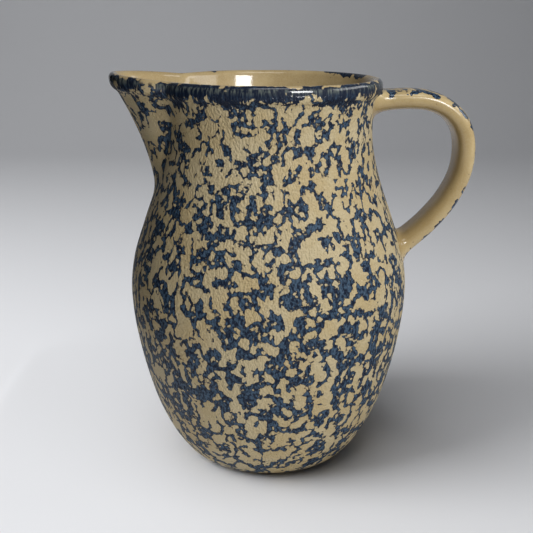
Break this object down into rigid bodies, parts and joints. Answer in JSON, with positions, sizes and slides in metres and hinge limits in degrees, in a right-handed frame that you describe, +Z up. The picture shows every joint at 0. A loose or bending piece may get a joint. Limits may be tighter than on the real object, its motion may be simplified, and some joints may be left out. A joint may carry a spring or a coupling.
{
  "type": "pitcher",
  "caption": "Stoneware pitcher with a rounded belly, a narrower neck, a pulled pouring spout and a strap handle.",
  "frame": {"origin": "the underside of the base, on the vessel's axis", "axes": "+Z up along the vessel's axis, the spout towards -X, the handle towards +X"},
  "size_m": [0.2279, 0.1788, 0.2515],
  "materials": {
    "bare_clay": "dry unglazed foot",
    "sponged_glaze": "gloss tan glaze sponged with cobalt blue",
    "rim_glaze": "gloss cobalt blue band",
    "plain_glaze": "gloss tan glaze"
  },
  "bodies": {
    "root": {"base": "bare_clay", "body": "sponged_glaze", "rim": "rim_glaze", "spout": "sponged_glaze", "handle": "plain_glaze", "handle_upper_joint": "plain_glaze", "handle_lower_joint": "plain_glaze"}
  },
  "joints": []
}
